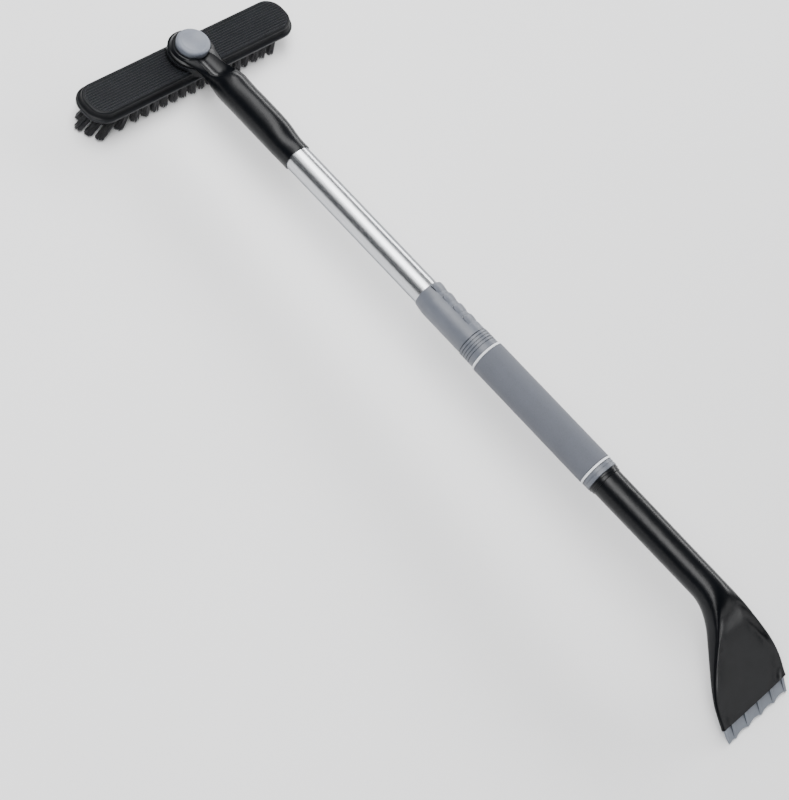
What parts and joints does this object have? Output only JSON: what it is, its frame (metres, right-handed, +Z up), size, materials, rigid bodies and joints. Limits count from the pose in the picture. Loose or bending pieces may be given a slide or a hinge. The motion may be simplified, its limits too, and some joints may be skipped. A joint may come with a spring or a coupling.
{
  "type": "snow_brush_scraper",
  "caption": "Telescopic car snow brush: swivelling bristle head with push-button lock, aluminium tube, twist-lock collar, soft grip and a curved ice-scraper paddle with a toothed blade",
  "frame": {"origin": "centre of the bounding box in plan, on the ground under the bristle tips and the blade points", "axes": "+X runs from the brush head to the scraper blade, +Y along the brush head, +Z up. The object lies on its bristles and its blade, so the handle rises 2.3 degrees towards +X."},
  "size_m": [0.8784, 0.2824, 0.0913],
  "materials": {
    "black_plastic": "satin moulded plastic with soft highlights",
    "grey_plastic": "fine matte moulded plastic",
    "pale_plastic": "smooth pale plastic",
    "button_plastic": "smooth satin plastic",
    "blade_plastic": "hard satin plastic, scuffed at the edge",
    "white_plastic": "natural acetal, slightly waxy",
    "grip_foam": "dense matte foam with fine pores",
    "tube_aluminium": "anodised, drawn along the length",
    "bristle_nylon": "fine nylon filaments in tufts",
    "fastener_steel": "zinc-plated steel"
  },
  "bodies": {
    "handle": {"scraper_handle": "black_plastic", "grooved_ferrule": "grey_plastic", "clamp_ring": "white_plastic", "upper_ring": "pale_plastic", "grip_sleeve": "grip_foam", "lower_ring": "pale_plastic", "end_band": "grey_plastic", "stop_flange": "black_plastic", "scraper_blade": "blade_plastic", "blade_rivets": "fastener_steel"},
    "collar": {"lock_collar": "grey_plastic"},
    "tube": {"inner_tube": "tube_aluminium", "tube_guide": "white_plastic", "neck": "black_plastic", "neck_pin": "fastener_steel"},
    "head": {"brush_cover": "black_plastic", "brush_base": "black_plastic", "bristle_row_1": "bristle_nylon", "bristle_row_2": "bristle_nylon", "bristle_row_3": "bristle_nylon", "bristle_row_4": "bristle_nylon", "bristle_row_5": "bristle_nylon", "cover_screws": "fastener_steel", "pivot_hub": "black_plastic", "swivel_washer": "white_plastic", "retaining_washer": "fastener_steel", "pivot_screw": "fastener_steel", "pivot_nut": "fastener_steel", "button_spring": "fastener_steel"},
    "button": {"lock_button": "button_plastic", "lock_cone": "white_plastic"}
  },
  "joints": [
    {"name": "extension", "type": "slide", "parent": "handle", "child": "tube", "axis": [0.9992, 0, 0.0402], "range_m": [0, 0.178]},
    {"name": "collar_twist", "type": "hinge", "parent": "handle", "child": "collar", "pos_m": [-0.03512, 0, 0.06181], "axis": [0.9992, 0, 0.0402], "range_deg": [0, 90]},
    {"name": "head_swivel", "type": "hinge", "parent": "tube", "child": "head", "pos_m": [-0.41481, 0, 0.04652], "axis": [-0.0402, 0, 0.9992], "range_deg": [-90, 90]},
    {"name": "lock_button_press", "type": "slide", "parent": "head", "child": "button", "axis": [0.0402, 0, -0.9992], "range_m": [0, 0.0025], "stiffness_N_per_m": 1200, "springref_m": -0.002, "deforming": ["button_spring"]}
  ]
}
